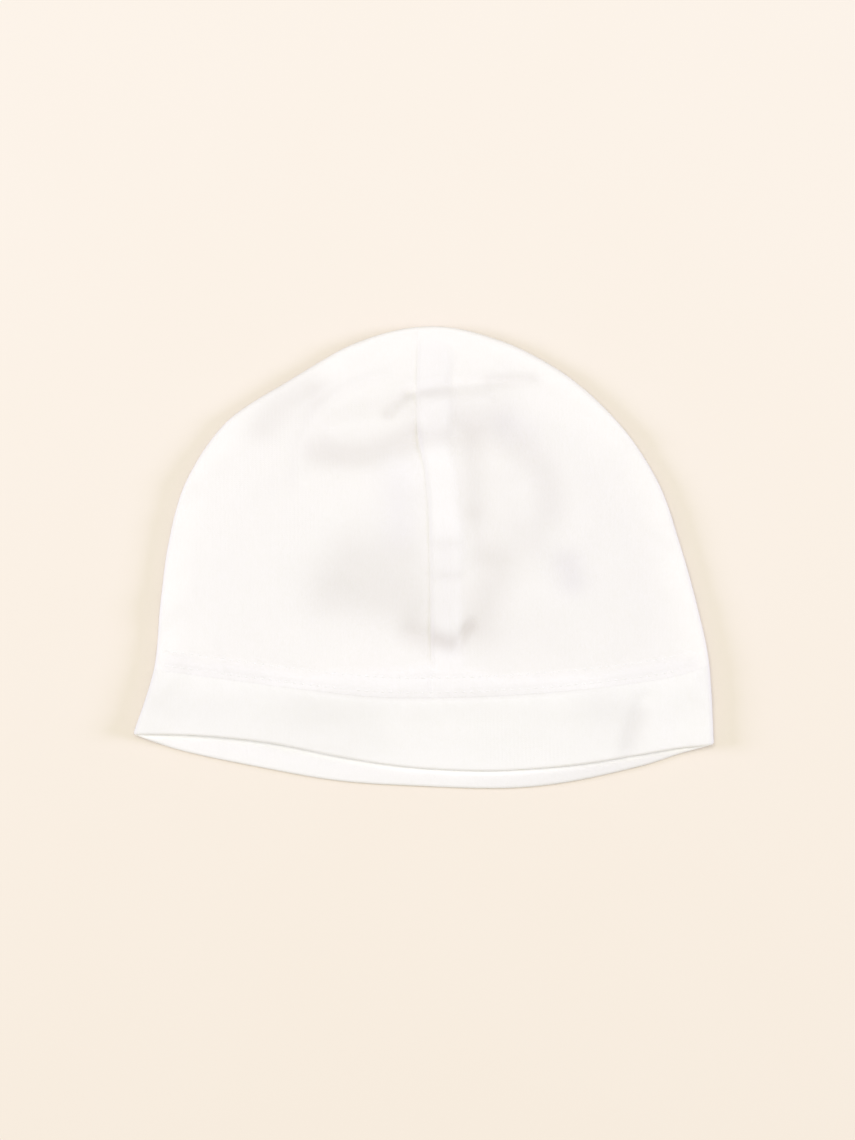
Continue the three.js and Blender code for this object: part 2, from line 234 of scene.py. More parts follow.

# Painted light and shade on the front, partly also how near the layers under the cloth lie: darker
# in hollows, creases and dents, lighter on a few rises: from x, y to x, y, the bow, the width, how
# much whiter it is, and how much bluer, a grey-blue of painted shade.
PAINTED_SHADE_AND_BACKING = [
    ("lower cloud", -25, -10, -5, -13, 1.0, 9.5, -0.45, 0.0),
    ("upper cloud", -21, 2, -6, 1, 0.5, 6.5, -0.3, 0.0),
    ("lower cloud right", 22, -1, 16, -20, 0.0, 6.5, -0.55, 0.0),
    ("pocket", -3, -22.5, 6, -25, -0.5, 4.0, -0.6, 0.0),
    ("pocket crease", 14, -20.5, 10, -27.5, -0.6, 2.0, -0.75, 0.0),
    ("right cloud", 8, 42, 22, 40, -0.5, 6.5, -0.45, 0.25),
    ("right cloud far", 25, 40, 31, 38, 0.0, 4.5, -0.08, 0.35),
    ("right arc", 31, 33, 33, 5, 6.0, 6.2, -0.34, 0.1),
    ("seam trough", 14.5, 36, 15.5, 15, 0.5, 4.6, -0.42, 0.0),
    ("seam trough low", 15, 12, 17, 0, 0.5, 3.4, -0.25, 0.0),
    ("tuck", -31, 32, -3, 37, -3.0, 4.2, -0.62, 0.0),
    ("crossing crease", 20, 52.5, 33, 53.5, 0.3, 2.4, -0.35, 0.0),
    ("apex diagonal", -11, 43, -4.5, 49, 0.5, 1.8, -0.42, 0.0),
    ("shoulder ridge", -13, 55, -36, 26, -8.5, 2.6, -0.05, 0.1),
    ("beside the seam", -7, 25, -7, 9, 0.0, 6.5, -0.14, 0.6),
    ("beside the seam, top", -8, 28, -3, 24, 0.0, 4.0, 0.15, 0.0),
    ("dimple", 43, -2, 44.5, -7, 0.0, 4.8, -0.4, 0.8),
    ("inside the arc", 24, 22, 27, 10, 0.0, 5.0, -0.15, 0.0),
    ("lower right", 22, -25, 40, -25, 0.0, 8.0, -0.13, 0.0),
    ("right side", 62, 25, 64, -25, 0.0, 14.0, -0.1, 0.0),
    ("shoulder", -48, 40, -34, 50, 1.5, 5.4, -0.52, 0.0),
    ("apex", 3, 62, 4, 50, 0.0, 4.0, 0.05, 0.3),
]
# Painted light and shade in the same way where the turnings lie under the cloth, without the bluer
# column: darker in the strip's dips, the pocket, the creases and the band seam's ends, lighter on
# its upper part.
PAINTED_SHADE_ON_TURNINGS = [
    ("pocket", 0, -23, 8, -25.5, -0.3, 3.0, -1.2),
    ("strip dip", -1, 36, 10, 36, 0.3, 3.2, -0.55),
    ("strip, top", 3, 43, 4, 60, 0.0, 6.0, -0.14),
    ("strip, upper part", 5, 28, 6, 15, 0.0, 5.0, 0.08),
    ("strip lower dip", 1, 3.5, 12, 3.5, 0.0, 2.0, -0.2),
    ("strip low dip", 1, -6, 12, -6, 0.0, 1.8, -0.25),
    ("strip, lower part", 6.5, 0, 7, -17, 0.0, 5.0, -0.22),
    ("band seam, left end", -78, -33, -52, -36, 0.0, 6.0, -0.18),
    ("band seam, right end", 60, -36, 82, -32, 0.0, 6.0, -0.18),
    ("crossing crease", -4, 49, 13, 50, 0.5, 2.0, -0.4),
]
# Painted light and shade in the same way on the outside of the band: darker at its left end, in
# and beside its crease, lighter in the middle and on the facet.
PAINTED_SHADE_ON_BAND = [
    ("left end", -82, -44, -66, -48, 0.0, 8.0, -0.08),
    ("middle", -5, -50, 38, -50, 1.0, 9.0, 0.1),
    ("beside the crease", 52, -43, 60, -50, 0.0, 6.0, -0.08),
    ("crease", 60.5, -60, 64.5, -47, 0.5, 2.8, -0.22),
    ("facet", 70, -52, 75, -44, 0.0, 5.0, 0.02),
]
# How white each part looks before these are added. The inside goes from left to right, painted
# darker towards the right as shade in the mouth. Near the edge the rim is whiter, partly from the
# two layers lying close there and partly a painted highlight. The seam shade is a painted dark
# line along
# the band seam: how much darker, and its width.
CLOTH_BACKING = 0.55
LAYERS_BACKING = 0.71
LAYERS_COOLNESS = 0.45
BACK_BACKING = 0.6
BAND_BACKING = 0.36
INSIDE_BACKING_AND_SHADE = ((-50.0, 10.0, 45.0), (0.36, 0.27, 0.14))
RIM_BACKING_AND_LIGHT = (0.22, 2.0, 11.0)
SEAM_SHADE = (0.24, 0.9)

# Painted light: the colour is made whiter under the front hem and at the turn of both hems,
# standing in for light that comes through the cloth there.
HEM_GLOW = (0.75, 1.2)
HEM_TURN_GLOW = 0.6
HEM_TURN_REACH = (0.1, 0.45, 0.55, 0.9)

# Fineness of the curves and the searches along them.
CURVE_POINTS = 40
CURVE_STEP = 1e-4
BOW_POINTS = 14
EDGE_POINTS = 801
EDGE_SIDE_POINTS = 200
SEAM_TRIES = (0.4, 0.6, 4001)
MEETING_ROUNDS = 6
POINTS_AT_ONCE = 4000

# Fineness of the meshes. The two lists are distances from a panel's seam and from its edge.
CROWN_ROWS = 170
ROW_BUNCHING = 0.35
ROW_SQUEEZE = 34.0
SEAM_SIDE = [0.0, 0.12, 0.28, 0.5, 0.8, 1.2, 1.7, 2.3, 3.0, 3.7, 4.3, 4.75, 5.1, 5.45, 5.9, 6.5,
             7.2, 8.0, 8.7, 9.3, 9.8, 10.2, 10.6, 11.0, 11.6, 12.4]
EDGE_SIDE = [5.2, 4.2, 3.4, 2.8, 2.3, 1.85, 1.45, 1.1, 0.8, 0.52, 0.3, 0.14, 0.04, 0.0]
FRONT_SPACING = 0.85
BACK_SPACING = 2.2
BAND_ROWS = 34
BAND_SPACING = 0.75
BAND_HALF_WIDTH = 85.0
BAND_KNIT_DEPTH = 23.0
HEM_TURNS = 9
SHARP_ANGLE = 55


def smooth_curve(table, fractions):
    """Points of a smooth curve through a table, at fractions of the way along it."""
    padded = np.vstack([table[:1], table, table[-1:]])
    place = np.clip(np.asarray(fractions, float), 0, 1) * (len(table) - 1)
    row = np.minimum(place.astype(int), len(table) - 2)
    f = (place - row)[..., None]
    before, start, end, after = (padded[row + k] for k in range(4))
    leaving, arriving = (end - before) / 2, (after - start) / 2
    return (
        (2 * start - 2 * end + leaving + arriving) * f**3
        + (3 * end - 3 * start - 2 * leaving - arriving) * f**2
        + leaving * f
        + start
    )


def smooth_column(table):
    """A smooth function of a table's first column, giving its second."""
    points = smooth_curve(table, np.linspace(0, 1, CURVE_POINTS * len(table)))
    return lambda value: np.interp(value, points[:, 0], points[:, 1])


band_seam_y = smooth_column(BAND_SEAM)
front_hem_y = smooth_column(FRONT_HEM)
back_hem_y = smooth_column(BACK_HEM)
centre_seam_x = smooth_column(CENTRE_SEAM)
puff_height = smooth_column(PUFF)
FOLD_LINE = smooth_curve(FOLD, np.linspace(0, 1, EDGE_POINTS))


def smoothstep(value, low, high):
    """0 up to one value and 1 from another, with a smooth change between."""
    t = np.clip((value - low) / (high - low), 0, 1)
    return t * t * (3 - 2 * t)


def nearest_on_line(line, x, y):
    """Distance from each point to a line of points, and how far along it the nearest spot is."""
    start, step = line[:-1], np.diff(line, axis=0)
    length2 = (step**2).sum(1)
    distance, along = np.empty(len(x)), np.empty(len(x))
    for first in range(0, len(x), POINTS_AT_ONCE):
        part = slice(first, first + POINTS_AT_ONCE)
        dx = x[part, None] - start[:, 0]
        dy = y[part, None] - start[:, 1]
        t = np.clip((dx * step[:, 0] + dy * step[:, 1]) / length2, 0, 1)
        gap = np.hypot(dx - t * step[:, 0], dy - t * step[:, 1])
        best = gap.argmin(1)
        rows = np.arange(len(best))
        distance[part] = gap[rows, best]
        along[part] = (best + t[rows, best]) / len(step)
    return distance, along


def bowed_line(x1, y1, x2, y2, bow):
    """A line of points from one place to another, bowed sideways."""
    start, end = np.array([x1, y1], float), np.array([x2, y2], float)
    step = end - start
    side = np.array([-step[1], step[0]]) / np.hypot(*step)
    middle = (start + end) / 2 + 2 * bow * side
    t = np.linspace(0, 1, BOW_POINTS)[:, None]
    return (1 - t) ** 2 * start + 2 * t * (1 - t) * middle + t**2 * end


def undulation(x, y):
    """Very low waves of the cloth, in a few directions and lengths."""
    rng = np.random.default_rng(UNDULATION_SEED)
    total = np.zeros_like(x)
    for length, rise, count in UNDULATION:
        for _ in range(count):
            angle, phase = rng.uniform(0, math.pi), rng.uniform(0, 2 * math.pi)
            stretch = rng.uniform(*UNDULATION_STRETCH)
            along = (x * math.cos(angle) + y * math.sin(angle)) * 2 * math.pi / (length * stretch)
            total += rise * np.sin(along + phase)
    return total


def edge_radius(y):
    """Half the thickness of the folded edge, which grows from the crown to the band."""
    change = smoothstep(y, *RADIUS_CHANGE)
    return BAND_EDGE_RADIUS + (CROWN_EDGE_RADIUS - BAND_EDGE_RADIUS) * change


def waves(along, table):
    """Uneven waves along a line: a sum of sines, each from its length and its rise."""
    return sum(rise * np.sin(2 * math.pi * along / length + length) for length, rise in table)


def ripple(along, table):
    """A sum of sines, each from its length over a turn, its rise and where it starts."""
    return sum(rise * np.sin(along / length + start) for length, rise, start in table)


def bell(across, rise, width):
    """A soft rise or groove, at a distance across it: full on its line, fading over the width."""
    return rise * np.exp(-((across / width) ** 2))


def edge_lift(x, y, edge):
    """How far the cap's edges curl up off the table, which raises both faces."""
    uneven = EDGE_LIFT + sum(waves(x + slant * y, EDGE_WAVES) for slant in EDGE_WAVE_SLANTS)
    hem = HEM_LIFT * (1 - smoothstep(y - back_hem_y(x), 0.0, HEM_LIFT_REACH))
    return np.maximum(uneven * (1 - smoothstep(edge, 0.0, EDGE_LIFT_REACH)), hem)


def puckers(x, y):
    """Small waves where the band seam draws the cloth in."""
    above = y - band_seam_y(x)
    low, full, high, end = PUCKER_REACH
    reach = smoothstep(above, low, full) * (1 - smoothstep(above, high, end))
    return waves(x + PUCKER_SLANT * above, PUCKERS) * reach


def folds(x, y, edge):
    """How much the waves, puckers, folds and dents raise the front."""
    total = undulation(x, y) + puckers(x, y)
    for _, x1, y1, x2, y2, bow, width, rise in FOLDS:
        near = np.hypot(x - (x1 + x2) / 2, y - (y1 + y2) / 2)
        close = near < math.hypot(x2 - x1, y2 - y1) / 2 + abs(bow) + FOLD_SEEN * width
        distance, _ = nearest_on_line(bowed_line(x1, y1, x2, y2, bow), x[close], y[close])
        total[close] += bell(distance, rise, width)
    return total * smoothstep(edge, *FOLDS_CLEAR_EDGE)


def nearness(x, y, x1, y1, x2, y2, bow, width):
    """How near each point is to a bowed line: 1 on it, fading over the width."""
    distance, _ = nearest_on_line(bowed_line(x1, y1, x2, y2, bow), x, y)
    return bell(distance, 1, width)


def backing_and_painted_shade(x, y):
    """How white the front looks from what lies under it and from painted light and shade, from 0
    to 1, and how blue.
    """
    edge, _ = nearest_on_line(FOLD_LINE, x, y)
    rise, start, end = RIM_BACKING_AND_LIGHT
    white = CLOTH_BACKING + rise * (1 - smoothstep(edge, start, end))
    blue = np.zeros_like(x)
    # Painted shade: patches darken and grey-blue the hollows, creases and dents; a few lighten
    # rises.
    for _, *patch, whiter, bluer in PAINTED_SHADE_AND_BACKING:
        near = nearness(x, y, *patch)
        white += whiter * near
        blue += bluer * near
    layered = layers(x, y, edge)
    white += (LAYERS_BACKING - white) * layered
    blue += (LAYERS_COOLNESS - blue) * layered
    # Painted light and shade on the turnings as well.
    for _, *patch, whiter in PAINTED_SHADE_ON_TURNINGS:
        white += whiter * nearness(x, y, *patch) * layered
    return white, blue


def band_backing_and_shade(x, y):
    """How white the outside of the band looks, from 0 to 1, with painted light and shade on it."""
    white = BAND_BACKING + sum(whiter * nearness(x, y, *patch) for _, *patch, whiter in PAINTED_SHADE_ON_BAND)
    # Painted shade: a dark line along the band seam's groove.
    return white - seam_drawn(x) * bell(y - band_seam_y(x), *SEAM_SHADE)


def layers(x, y, edge):
    """How much the turnings inside lie under the cloth: 1 where they do."""
    right = x - centre_seam_x(y)
    above = y - band_seam_y(x)
    uneven = ripple(y, FREE_SIDE_RIPPLE)
    start, end = (CENTRE_TURNING + uneven + side for side in FREE_SIDE)
    centre = smoothstep(right, *SEWN_SIDE) * (1 - smoothstep(right, start, end))
    centre *= smoothstep(above, *ABOVE_BAND_SEAM)
    arch = np.sin(np.clip(right / CENTRE_TURNING, 0, 1) * math.pi)
    centre *= 1 - CENTRE_TURNING_ARCH * (1 - arch)
    centre *= CENTRE_TURNING_LEVEL + ripple(y, CENTRE_TURNING_RIPPLE)
    centre *= 1 - CENTRE_TURNING_FADE * smoothstep(y, *CENTRE_TURNING_FADES)
    width = BAND_TURNING + bell(x, *BAND_TURNING_EXTRA) + ripple(x, BAND_TURNING_RIPPLE)
    band = 1 - smoothstep(above, width - BAND_TURNING_SOFT, width)
    band *= smoothstep(above, *BAND_LEVELLED)
    return np.maximum(centre, band) * smoothstep(edge, *TURNINGS_CLEAR_EDGE)


def seam_drawn(x):
    """How sharply the band seam is drawn in: 1 in the middle of the front, 0 at its ends."""
    return smoothstep(x, *SEAM_DRAWN_FROM) * (1 - smoothstep(x, *SEAM_DRAWN_TO))


def seam_ditches(x, y):
    """The grooves of the centre seam, of the band seam and of the stitching."""
    right = x - centre_seam_x(y)
    above = y - band_seam_y(x)
    on_crown = above > -GROOVES_END_BELOW_SEAM
    drawn = SEAM_DRAWN_LEAST + (1 - SEAM_DRAWN_LEAST) * seam_drawn(x)
    ditch = np.maximum(bell(right, *CENTRE_GROOVE) * on_crown, drawn * bell(above, *BAND_GROOVE))
    stitched = bell(right - CENTRE_TURNING / 2, *CENTRE_STITCH_GROOVE) * on_crown
    stitched *= 1 - smoothstep(y, *CENTRE_STITCHES_END)
    for level in BAND_STITCH_LEVELS:
        stitched = np.maximum(stitched, bell(above - level, *BAND_STITCH_GROOVE))
    return ditch + stitched


def height(sheet, x, y, inset):
    """Level of the front or the back. The inset is 0 on the outer face."""
    shape = x.shape
    x, y = x.ravel(), y.ravel()
    edge, _ = nearest_on_line(FOLD_LINE, x, y)
    radius = edge_radius(y)
    out = np.clip((radius - edge) / (radius - inset), 0, 1)
    rounded = (radius - inset) * np.sqrt(1 - out**2)
    lift = edge_lift(x, y, edge)
    if sheet == "back":
        level = radius - rounded + lift
        if inset == 0:
            level = level + seam_ditches(x, y) * smoothstep(edge, *BACK_GROOVES_CLEAR_EDGE)
        return level.reshape(shape)
    raised = puff_height(y) * smoothstep(edge, radius, np.full_like(radius, PUFF_REACH))
    level = radius + rounded + raised + lift + folds(x, y, edge)
    if inset == 0:
        level += TURNING_RISE * layers(x, y, edge)
        level -= seam_ditches(x, y) * smoothstep(edge, *FRONT_GROOVES_CLEAR_EDGE)
    return level.reshape(shape)


def edge_point(fraction, inset):
    """A point of the folded edge, moved inwards by the inset."""
    here = smooth_curve(FOLD, fraction)
    ahead = smooth_curve(FOLD, fraction + CURVE_STEP) - smooth_curve(FOLD, fraction - CURVE_STEP)
    ahead /= np.hypot(*ahead)
    return here + inset * np.array([ahead[1], -ahead[0]])


def edge_at_level(side, level, inset):
    """The point of the folded edge at a level of the band, moved inwards by the inset."""
    half = FOLD_LINE[:EDGE_SIDE_POINTS] if side < 0 else FOLD_LINE[:-EDGE_SIDE_POINTS:-1]
    x = np.interp(level, half[:, 1], half[:, 0])
    slope = (np.interp(level + 1, half[:, 1], half[:, 0])
             - np.interp(level - 1, half[:, 1], half[:, 0])) / 2
    inwards = np.array([-side, side * slope]) / math.hypot(1, slope)
    return np.array([x, level]) + inset * inwards


def seam_fraction(side):
    """Where along the folded edge a panel's side of the centre seam meets it."""
    tries = np.linspace(*SEAM_TRIES)
    points = smooth_curve(FOLD, tries)
    gap = points[:, 0] - centre_seam_x(points[:, 1]) - side * SEAM_GAP / 2
    return tries[np.argmin(np.abs(gap))]


def band_seam_level(sheet, x):
    """The level in plan of the band seam on the front, or on the back where it lies lower."""
    x = np.asarray(x, float)
    across = np.minimum(1, x / np.where(x < 0, FOLD[LEFT_SEAM_ROW, 0], FOLD[RIGHT_SEAM_ROW, 0]))
    return band_seam_y(x) - (BACK_DROP * (1 - across**2) if sheet == "back" else 0)


def spread(start, end, length, count):
    """Distances along a row: close together at its start and end, even between."""
    squeeze = min(1.0, length / ROW_SQUEEZE)
    first = np.array(start) * squeeze
    last = length - np.array(end) * squeeze
    even = np.linspace(first[-1], last[0], count + 1)[1:-1]
    return np.concatenate([first, even, last]) / length


def ring_faces(rings, count, looped):
    """Quads between rings with equal counts."""
    here = np.arange(count)
    after = (here + 1) % count
    spans = rings if looped else rings - 1
    faces = [
        np.stack([row * count + here, row * count + after,
                  (row + 1) % rings * count + after, (row + 1) % rings * count + here], 1)
        for row in range(spans)
    ]
    return np.vstack(faces)


def cloth_piece(name, points, faces, under, finish, attributes):
    """A mesh object of cloth, with its knit's place and its shading stored on it."""
    mesh = bpy.data.meshes.new(name)
    mesh.from_pydata((points * MM).tolist(), [], [list(map(int, f)) for f in faces])
    cloth = mesh.uv_layers.new(name="cloth")
    corner = np.empty(len(mesh.loops), np.int32)
    mesh.loops.foreach_get("vertex_index", corner)
    cloth.data.foreach_set("uv", (under[corner] * MM).astype(np.float32).ravel())
    for kind, values in attributes.items():
        attribute = mesh.attributes.new(kind, "FLOAT", "POINT")
        attribute.data.foreach_set("value", values.astype(np.float32))
    mesh.materials.append(finish)
    mesh.polygons.foreach_set("use_smooth", np.ones(len(mesh.polygons), bool))
    mesh.set_sharp_from_angle(angle=math.radians(SHARP_ANGLE))
    piece = bpy.data.objects.new(name, mesh)
    bpy.context.scene.collection.objects.link(piece)
    shape = bmesh.new()
    shape.from_mesh(mesh)
    bmesh.ops.recalc_face_normals(shape, faces=shape.faces)
    shape.to_mesh(mesh)
    shape.free()
    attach(piece, "root")
    return piece


def crown_panel(side, finish):
    """One crown panel, front and back in one piece, as a closed thin wall."""
    name = "left" if side < 0 else "right"
    bottom = (LEFT_SEAM_ROW if side < 0 else RIGHT_SEAM_ROW) / (len(FOLD) - 1)
    top = seam_fraction(side)
    top_level = smooth_curve(FOLD, top)[1]
    low_level = float(band_seam_level("front", 0.0))

    def row_ends(v, inset):
        level = low_level + (top_level - inset - low_level) * math.sin(v * math.pi / 2)
        seam = np.array([float(centre_seam_x(level)) + side * SEAM_GAP / 2, level])
        return seam, edge_point(bottom + (top - bottom) * v, inset)

    longest = np.hypot(*(row_ends(0.0, 0.0)[1] - row_ends(0.0, 0.0)[0]))
    inner_span = longest - SEAM_SIDE[-1] - EDGE_SIDE[0]
    counts = {"front": round(inner_span / FRONT_SPACING), "back": round(inner_span / BACK_SPACING)}

    def line(sheet, v, inset):
        seam, edge = row_ends(v, inset)
        low_seam, low_edge = row_ends(0.0, inset)
        f = spread(SEAM_SIDE if sheet == "front" else SEAM_SIDE[:8:2], EDGE_SIDE,
                   np.hypot(*(edge - seam)), counts[sheet])[:, None]
        at = seam + (edge - seam) * f
        lowest = low_seam + (low_edge - low_seam) * f
        at[:, 1] += (band_seam_level(sheet, lowest[:, 0]) - lowest[:, 1]) * (1 - v) ** 2
        return at

    rows = np.arange(CROWN_ROWS) / CROWN_ROWS
    rows = ROW_BUNCHING * rows**2 + (1 - ROW_BUNCHING) * rows
    plans = {
        (sheet, inset): np.array([line(sheet, v, inset) for v in rows])
        for sheet in ("front", "back") for inset in (0.0, CROWN_WALL)
    }
    solid = {key: np.dstack([plan, height(key[0], plan[..., 0], plan[..., 1], key[1])])
             for key, plan in plans.items()}
    outer = np.hstack([solid["front", 0.0], solid["back", 0.0][:, ::-1][:, 1:]])
    inner = np.hstack([solid["front", CROWN_WALL], solid["back", CROWN_WALL][:, ::-1][:, 1:]])
    rings = np.hstack([outer, inner[:, ::-1]])
    count = rings.shape[1]
    half = count // 2
    tips = []
    for inset in (0.0, CROWN_WALL):
        x, y = edge_point(top, inset)
        tips.append([x, y, float(edge_radius(y) + edge_lift(x, y, 0.0))])
    points = np.vstack([rings.reshape(-1, 3), tips])
    outer_tip, inner_tip = len(points) - 2, len(points) - 1
    last = (CROWN_ROWS - 1) * count
    here = np.arange(half - 1)
    faces = list(ring_faces(CROWN_ROWS, count, False))
    faces += list(np.stack([here, count - 1 - here, count - 2 - here, here + 1], 1))
    faces += [(last + i, last + i + 1, outer_tip) for i in here]
    faces += [(last + half + i, last + half + i + 1, inner_tip) for i in here]
    faces += [(last + half - 1, last + half, inner_tip, outer_tip),
              (last + count - 1, last, outer_tip, inner_tip)]
    white, blue = backing_and_painted_shade(points[:, 0], points[:, 1])
    outside = len(plans["front", 0.0][0])
    place = np.arange(len(points)) % count
    front = (place < outside) | (place >= count - outside) | (np.arange(len(points)) >= outer_tip)
    white = np.where(front, white, BACK_BACKING)
    piece = cloth_piece("crown_" + name + "_panel", points, faces, points[:, :2],
                        finish, {"backing_and_painted_shade": white, "coolness": blue * front})
    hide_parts("crown_" + name)
    return piece


def band_strip(finish):
    """The band, a strip folded double, as a closed ring with a rounded hem."""
    def row_y(sheet, x, v, beyond):
        hem = (front_hem_y(x) if sheet == "front" else back_hem_y(x)) + HEM_RADIUS - beyond
        seam = band_seam_level(sheet, x) - SEAM_GAP
        return seam + (hem - seam) * v

    def end_of_row(side, v, inset, beyond):
        """Where the folded edge, moved inwards, meets a row."""
        along = FOLD[LEFT_SEAM_ROW if side < 0 else RIGHT_SEAM_ROW, 1]
        end = edge_at_level(side, along, inset)
        for _ in range(MEETING_ROUNDS):
            along += float(row_y("front", end[0], v, beyond)) - end[1]
            end = edge_at_level(side, along, inset)
        return end

    def level(v, inset, beyond):
        left = end_of_row(-1, v, inset, beyond)
        right = end_of_row(1, v, inset, beyond)
        middle = (left + right) / 2
        rows = []
        for sheet, end, turned in (("front", left, True), ("front", right, False),
                                   ("back", right, True), ("back", left, False)):
            length = np.hypot(*(end - middle))
            spacing = BAND_SPACING if sheet == "front" else 2 * BAND_SPACING
            count = round((BAND_HALF_WIDTH - EDGE_SIDE[0]) / spacing)
            f = spread([0.0], EDGE_SIDE, length, count)
            x = middle[0] + (end[0] - middle[0]) * f
            y = row_y(sheet, x, v, beyond)
            z = height(sheet, x, y, inset)
            half = np.stack([x, y, z], 1)
            rows.append(half[::-1] if turned else half)
        return np.vstack([rows[0][:-1], rows[1], rows[2][1:-1], rows[3][:-1]])

    down = np.linspace(0, 1, BAND_ROWS + 1)
    turns = np.linspace(0, math.pi, HEM_TURNS)[1:-1]
    rings = [level(v, 0.0, 0.0) for v in down]
    rings += [level(1.0, HEM_RADIUS * (1 - math.cos(a)), HEM_RADIUS * math.sin(a)) for a in turns]
    rings += [level(v, BAND_WALL, 0.0) for v in down[::-1]]
    rings = np.array(rings)
    points = rings.reshape(-1, 3)
    faces = ring_faces(rings.shape[0], rings.shape[1], True)
    seam, hem = band_seam_y(points[:, 0]), front_hem_y(points[:, 0])
    down_band = (points[:, 1] - seam) / (hem - seam)
    under = np.stack([points[:, 0], down_band * -BAND_KNIT_DEPTH], 1)
    ring = np.repeat(np.arange(len(rings)), rings.shape[1])
    inner = ring >= BAND_ROWS + HEM_TURNS // 2
    outside = band_backing_and_shade(points[:, 0], points[:, 1])
    # Inside: painted darker towards the right as shade, and painted light under the front hem and
    # at its turn.
    inside = np.interp(points[:, 0], *INSIDE_BACKING_AND_SHADE) + bell(points[:, 1] - hem, *HEM_GLOW)
    turned = np.clip((ring - BAND_ROWS) / (HEM_TURNS - 1), 0, 1)
    start, full, fading, end = HEM_TURN_REACH
    glow = HEM_TURN_GLOW * smoothstep(turned, start, full) * (1 - smoothstep(turned, fading, end))
    piece = cloth_piece("band_strip", points, faces, under, finish,
                        {"backing_and_painted_shade": np.where(inner, inside, outside) + glow})
    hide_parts("band")
    return piece


def thread_rows(name, rows, finish):
    """Rows of stitches. A row is a sheet and the points of its line, a stitch between each two."""
    points, faces = [], []
    for sheet, line in rows:
        side = 1 if sheet == "front" else -1
        for start, end in zip(line[:-1], line[1:]):
            first = len(points)
            along = np.linspace(*STITCH_SPAN, STITCH_RINGS)[:, None]
            at = start + (end - start) * along
            level = height(sheet, at[:, 0], at[:, 1], 0.0)
            arch = np.sin(np.linspace(0, math.pi, STITCH_RINGS))
            level = level + side * THREAD_RADIUS * (THREAD_ARCH * arch - THREAD_SUNK)
            heading = (end - start) / np.hypot(*(end - start))
            across = np.array([-heading[1], heading[0]])
            for ring in range(STITCH_RINGS):
                radius = THREAD_RADIUS * (THREAD_END + (1 - THREAD_END) * arch[ring])
                for turn in np.arange(STITCH_SIDES) * 2 * math.pi / STITCH_SIDES:
                    x, y = at[ring] + across * radius * math.cos(turn)
                    z = max(THREAD_LOWEST, level[ring] + radius * math.sin(turn))
                    points.append((x, y, z))
            for ring in range(STITCH_RINGS - 1):
                for k in range(STITCH_SIDES):
                    a = first + ring * STITCH_SIDES + k
                    b = first + ring * STITCH_SIDES + (k + 1) % STITCH_SIDES
                    faces.append((a, b, b + STITCH_SIDES, a + STITCH_SIDES))
            faces.append([first + k for k in range(STITCH_SIDES)][::-1])
            faces.append([len(points) - STITCH_SIDES + k for k in range(STITCH_SIDES)])
    points = np.array(points)
    return cloth_piece(name, points, faces, points[:, :2], finish, {})


def band_stitching(finish):
    """Two rows of top stitching on the crown, just above the band seam, all the way round."""
    x = np.arange(-STITCHED_REACH, STITCHED_REACH, STITCH_PITCH)
    rows = [
        (sheet, np.stack([x, band_seam_level(sheet, x) + level], 1))
        for sheet in ("front", "back") for level in BAND_STITCH_LEVELS
    ]
    return thread_rows("band_top_stitching", rows, finish)


class Value:
    """One number in a material's maths, with the usual operators."""

    def __init__(self, finish, socket):
        self.finish = finish
        self.socket = socket

    def maths(self, operation, *values):
        settings = {"operation": operation}
        return self.finish.node("ShaderNodeMath", settings, dict(enumerate(values)))

    def __add__(self, other):
        return self.maths("ADD", self, other)

    __radd__ = __add__

    def __sub__(self, other):
        return self.maths("SUBTRACT", self, other)

    def __rsub__(self, other):
        return self.maths("SUBTRACT", other, self)

    def __mul__(self, other):
        return self.maths("MULTIPLY", self, other)

    __rmul__ = __mul__

    def __truediv__(self, other):
        return self.maths("DIVIDE", self, other)

    def fraction(self):
        return self.maths("FRACT", self)

    def size(self):
        return self.maths("ABSOLUTE", self)

    def sine(self):
        return self.maths("SINE", self)


class Finish:
    """One material, built of nodes."""

    def __init__(self, name):
        self.material = bpy.data.materials.new(name)
        self.material.use_nodes = True
        self.tree = self.material.node_tree
        self.tree.nodes.clear()

    def node(self, kind, settings=None, values=None, output=0):
        """Adds a node: its settings first, then the values or links of its sockets."""
        made = self.tree.nodes.new(kind)
        for name, setting in (settings or {}).items():
            setattr(made, name, setting)
        for name, value in (values or {}).items():
            if isinstance(value, Value):
                self.tree.links.new(value.socket, made.inputs[name])
            else:
                made.inputs[name].default_value = value
        return None if output is None else Value(self, made.outputs[output])

    def split(self, vector):
        """The x and y of a vector, in millimetres."""
        made = self.node("ShaderNodeSeparateXYZ", values={0: vector})
        return made / MM, Value(self, made.socket.node.outputs[1]) / MM

    def noise(self, size_mm, detail=2.0, roughness=0.5):
        """Soft noise with features of about this size, from 0 to 1."""
        place = self.node("ShaderNodeTexCoord", output="Object")
        return self.node("ShaderNodeTexNoise", None, {
            "Vector": place, "Scale": 1 / (size_mm * MM), "Detail": detail, "Roughness": roughness,
        })

    def attribute(self, name):
        """A value stored on the mesh's points."""
        return self.node("ShaderNodeAttribute", {"attribute_name": name}, output="Fac")

    def blend(self, factor, first, second, beyond=False):
        """One colour turning into another, and beyond them if so asked."""
        return self.node("ShaderNodeMix", {"data_type": "RGBA", "clamp_factor": not beyond},
                         {"Factor": factor, 6: first, 7: second}, output=2)

    def tint(self, first, second):
        """One colour multiplied by another."""
        return self.node("ShaderNodeMix", {"data_type": "RGBA", "blend_type": "MULTIPLY"},
                         {"Factor": 1.0, 6: first, 7: second}, output=2)

    def grey(self, value):
        """A grey of this brightness, as a colour."""
        return self.node("ShaderNodeCombineXYZ", None, {0: value, 1: value, 2: value})

    def done(self, shader):
        """Ends the material in this shader."""
        self.node("ShaderNodeOutputMaterial", None, {"Surface": shader}, output=None)
        return self.material


